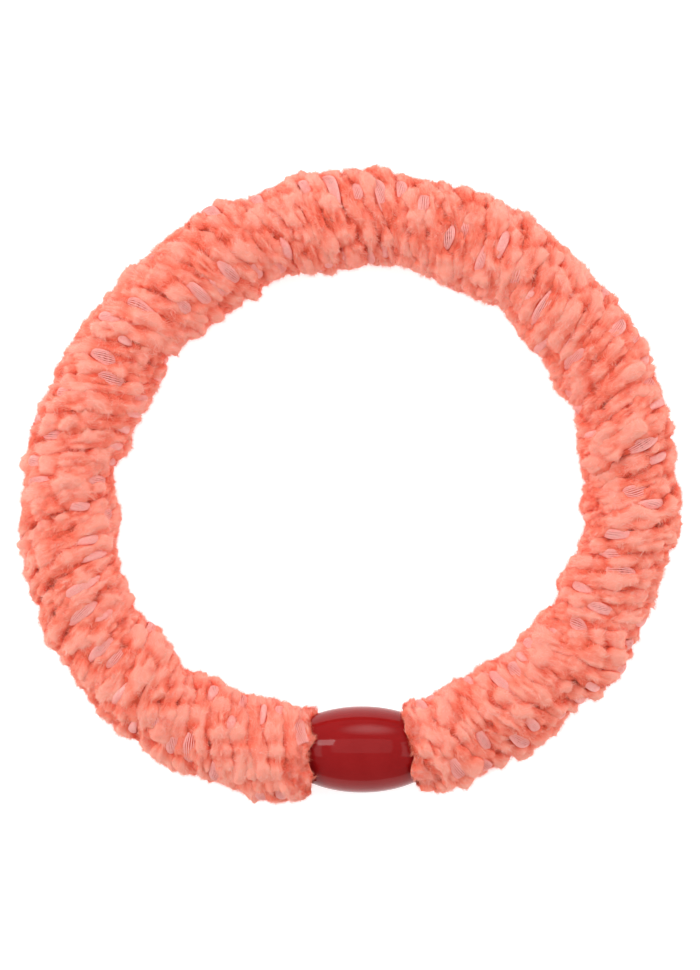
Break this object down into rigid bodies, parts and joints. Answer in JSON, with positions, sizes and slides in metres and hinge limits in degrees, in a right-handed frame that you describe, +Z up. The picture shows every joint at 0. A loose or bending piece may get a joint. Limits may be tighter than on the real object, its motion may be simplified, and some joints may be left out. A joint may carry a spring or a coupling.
{
  "type": "hair tie",
  "caption": "Small ring of fluffy chenille-covered elastic cord whose ends are glued into a glossy barrel bead; it stretches open to hold a ponytail.",
  "frame": {"origin": "on the ground under the middle of the ring, which lies flat", "axes": "+Z up, square to the ring; the bead is on the -Y side with its axis along X; the loop stretches towards +Y"},
  "size_m": [0.0549, 0.0526, 0.0075],
  "materials": {
    "bead": "glossy moulded plastic, deep red",
    "adhesive": "cured clear-amber glue",
    "chenille": "coral chenille pile, velvety",
    "filament_yarn": "smooth pink filament yarn with a soft lustre",
    "elastic_thread": "matt natural rubber thread"
  },
  "bodies": {
    "bead": {"bead": "bead", "adhesive_left": "adhesive", "adhesive_right": "adhesive"},
    "loop": {"core_jacket": "filament_yarn", "elastic_thread_1": "elastic_thread", "elastic_thread_2": "elastic_thread", "elastic_thread_3": "elastic_thread", "elastic_thread_4": "elastic_thread", "elastic_thread_5": "elastic_thread", "elastic_thread_6": "elastic_thread", "elastic_thread_7": "elastic_thread", "chenille_yarn_1": "chenille", "chenille_yarn_2": "chenille", "chenille_yarn_3": "chenille", "chenille_yarn_4": "chenille", "chenille_yarn_5": "chenille", "filament_yarn_1": "filament_yarn", "filament_yarn_2": "filament_yarn", "filament_yarn_3": "filament_yarn", "filament_yarn_4": "filament_yarn", "filament_yarn_5": "filament_yarn"}
  },
  "joints": [
    {"name": "stretch", "type": "slide", "parent": "bead", "child": "loop", "axis": [0, 1, 0], "range_m": [0, 0.03], "stiffness_N_per_m": 100, "deforming": ["core_jacket", "elastic_thread_1", "elastic_thread_2", "elastic_thread_3", "elastic_thread_4", "elastic_thread_5", "elastic_thread_6", "elastic_thread_7", "chenille_yarn_1", "chenille_yarn_2", "chenille_yarn_3", "chenille_yarn_4", "chenille_yarn_5", "filament_yarn_1", "filament_yarn_2", "filament_yarn_3", "filament_yarn_4", "filament_yarn_5"]}
  ]
}
